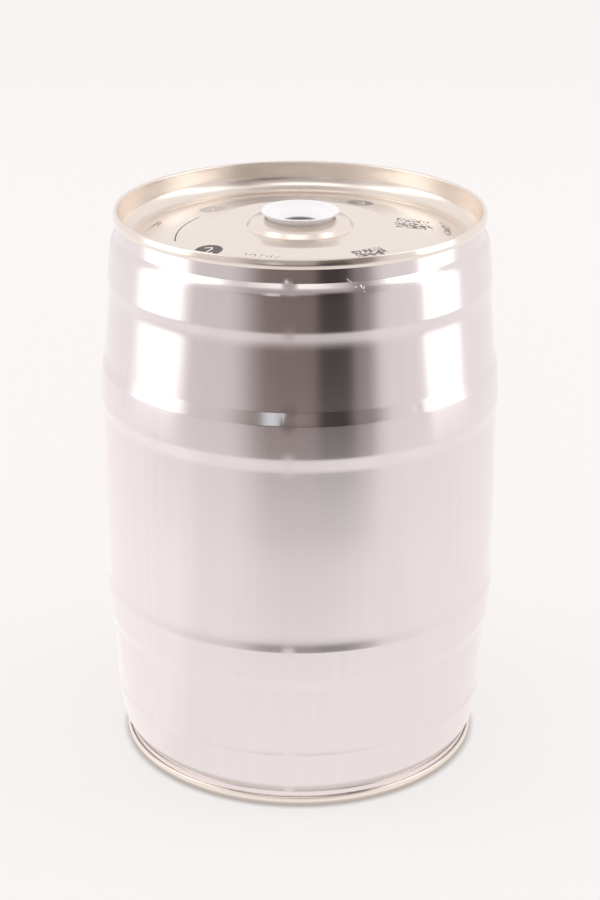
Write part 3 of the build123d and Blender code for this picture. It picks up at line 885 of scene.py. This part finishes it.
def lacquered_end(name, printed):
    """Pale gold lacquer over satin tinplate, with faint marks of the sheet's rolling."""
    made, shader, shade = material(name, {})
    place = shade.place()
    x, y, z = place.split()
    rolling = streaked(place, LACQUER_ROLLING)
    grain = noise(place, LACQUER_GRAIN)
    tone = rolling.mix(LACQUER_DARK, LACQUER_PALE)
    panel = 1 - distance(x, y, 0, 0).rise(*PANEL_EDGE)
    rough = 0.13 + 0.09 * panel + 0.04 * rolling + 0.01 * grain
    metal = 1 - 0.10 * panel
    if printed:
        above = z.rise(*PRINT_FLOOR)
        inside = 1 - distance(x, y, 0, 0).rise(*PRINT_EDGE)
        marks = printed_marks(x, y) * inside * above
        tone = marks.mix(tone, PRINT_COLOUR)
        rough = rough + 0.25 * marks
        metal = metal * (1 - marks)
    feed(shader, "Base Color", tone)
    feed(shader, "Roughness", rough)
    feed(shader, "Metallic", metal)
    feed_bump(shader, 0.3 * grain + 0.6 * rolling, LACQUER_RELIEF)
    return made


def model_top_end():
    """The top end, up to the collar and down its hole."""
    corners = [*seam_and_panel(TOP_PANEL_DEPTH), *COLLAR]
    face = [(radius, KEG_HEIGHT - depth, turn) for radius, depth, turn in corners]
    return lathe("top_lid", sheet_outline(face, END_SHEET, END_ROUND_STEPS, END_LONGEST_STEP))


def model_bottom_end():
    """The bottom end, plain to its centre."""
    corners = [*seam_and_panel(BOTTOM_PANEL_DEPTH), (0, BOTTOM_PANEL_DEPTH, 0)]
    face = [(radius, -depth, turn) for radius, depth, turn in corners]
    outline = sheet_outline(face, END_SHEET, END_ROUND_STEPS, END_LONGEST_STEP)
    return lathe("bottom_lid", [Vector((max(point.x, 0), -point.y)) for point in outline])


top_lid = model_top_end()
bottom_lid = model_bottom_end()
wear(top_lid, lacquered_end("gold_lacquer_printed", True))
wear(bottom_lid, lacquered_end("gold_lacquer_plain", False))
for lid, node in ((top_lid, "top_end"), (bottom_lid, "bottom_end")):
    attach(lid, "keg")
    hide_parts(node)


# ---------------------------------------------------------------------------------------------
# Bung ring: white soft plastic, moulded with a funnel inside and a hollow under it, and
# snapped into the collar.
# ---------------------------------------------------------------------------------------------
RING_WHITE = (0.90, 0.89, 0.90)
# The ring's closed section: lip, groove, bead, inner tube and funnel, as radius, depth, round.
RING_SECTION = (
    (0.0160, 0.0016, 0.0004),
    (0.0169, 0.0016, 0.0004),
    (0.0169, 0.0022, 0.0003),
    (0.01475, 0.0046, 0.0006),
    (0.01475, 0.0062, 0.0001),
    (0.0160, 0.0062, 0.0002),
    (0.01475, 0.0077, 0.0006),
    (0.0110, 0.0101, 0.0006),
    (0.0098, 0.0101, 0.0003),
    (0.0098, 0.0076, 0.0004),
    (0.0085, 0.0076, 0.0002),
    (0.0085, 0.0069, 0.0003),
    (0.0107, 0.0054, 0.0008),
    (0.0138, 0.0036, 0.0010),
)
RING_ROUND_STEPS = 5
RING_LONGEST_STEP = 0.001
RING_TURN_STEPS = 128
MOULDED_CLOUDS = 90


def model_bung_ring():
    """The ring, turned from its section."""
    corners = [(radius, KEG_HEIGHT - depth, turn) for radius, depth, turn in RING_SECTION]
    ring = rounded([corners[-1]] + corners + [corners[0]], RING_ROUND_STEPS)[1:-1]
    outline = spaced(ring + ring[:1], RING_LONGEST_STEP)
    return lathe("bung_grommet", outline, ((0, 360, RING_TURN_STEPS),))


def moulded(name, colour, roughness, grain_scale, grain_depth, constants=()):
    """Moulded plastic or rubber: an even colour, a fine grain and slow changes of shine."""
    made, shader, shade = material(name, dict(constants))
    place = shade.place()
    grain = noise(place, grain_scale)
    clouds = noise(place, MOULDED_CLOUDS)
    darker = tuple(part * 0.95 for part in colour) + (1,)
    feed(shader, "Base Color", clouds.mix(darker, colour + (1,)))
    feed(shader, "Roughness", roughness - 0.03 + 0.08 * clouds + 0.04 * grain)
    feed_bump(shader, grain, grain_depth)
    return made


bung_grommet = model_bung_ring()
wear(bung_grommet, moulded("white_plastic", RING_WHITE, 0.35, 900, 4e-6))
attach(bung_grommet, "keg")
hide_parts("bung_ring")


# ---------------------------------------------------------------------------------------------
# Seam compound: the matt rubber film that fills both double seams. It sits inside the seams,
# between the end's hook and the wall.
# ---------------------------------------------------------------------------------------------
compound = moulded("seam_rubber", (0.34, 0.32, 0.27), 0.75, 1500, 1e-5)
for node in ("top_seam_compound", "bottom_seam_compound"):
    wear(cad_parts[node], compound)


# ---------------------------------------------------------------------------------------------
# Tap: moulded housing with its gasket and lock ring, the slide that pulls out as a spout, and
# the rotary core with its knob. It plugs through the wall's seat and is held from inside.
# ---------------------------------------------------------------------------------------------
grey_housing = moulded("housing_plastic", (0.71, 0.71, 0.69), 0.42, 2200, 1e-5)
grey_spout = moulded("spout_plastic", (0.60, 0.60, 0.585), 0.28, 600, 2e-6)
dark_core = moulded("core_plastic", (0.073, 0.078, 0.089), 0.35, 600, 2e-6)
dark_knob = moulded("knob_plastic", (0.018, 0.018, 0.020), 0.42, 2200, 1e-5)
black_rubber = moulded("seal_rubber", (0.006, 0.006, 0.006), 0.55, 1800, 6e-6)
spring = moulded("spring_steel", (0.34, 0.34, 0.36), 0.28, 1200, 3e-6, {"Metallic": 1.0})
TAP_FINISHES = {
    "tap_housing": grey_housing,
    "tap_lock_ring": grey_housing,
    "tap_slide": grey_spout,
    "valve_core": dark_core,
    "tap_knob": dark_knob,
    "tap_gasket": black_rubber,
    "housing_seal_front": black_rubber,
    "housing_seal_rear": black_rubber,
    "core_seal_front": black_rubber,
    "core_seal_rear": black_rubber,
    "slide_clip": spring,
}
for node, finish in TAP_FINISHES.items():
    wear(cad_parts[node], finish)
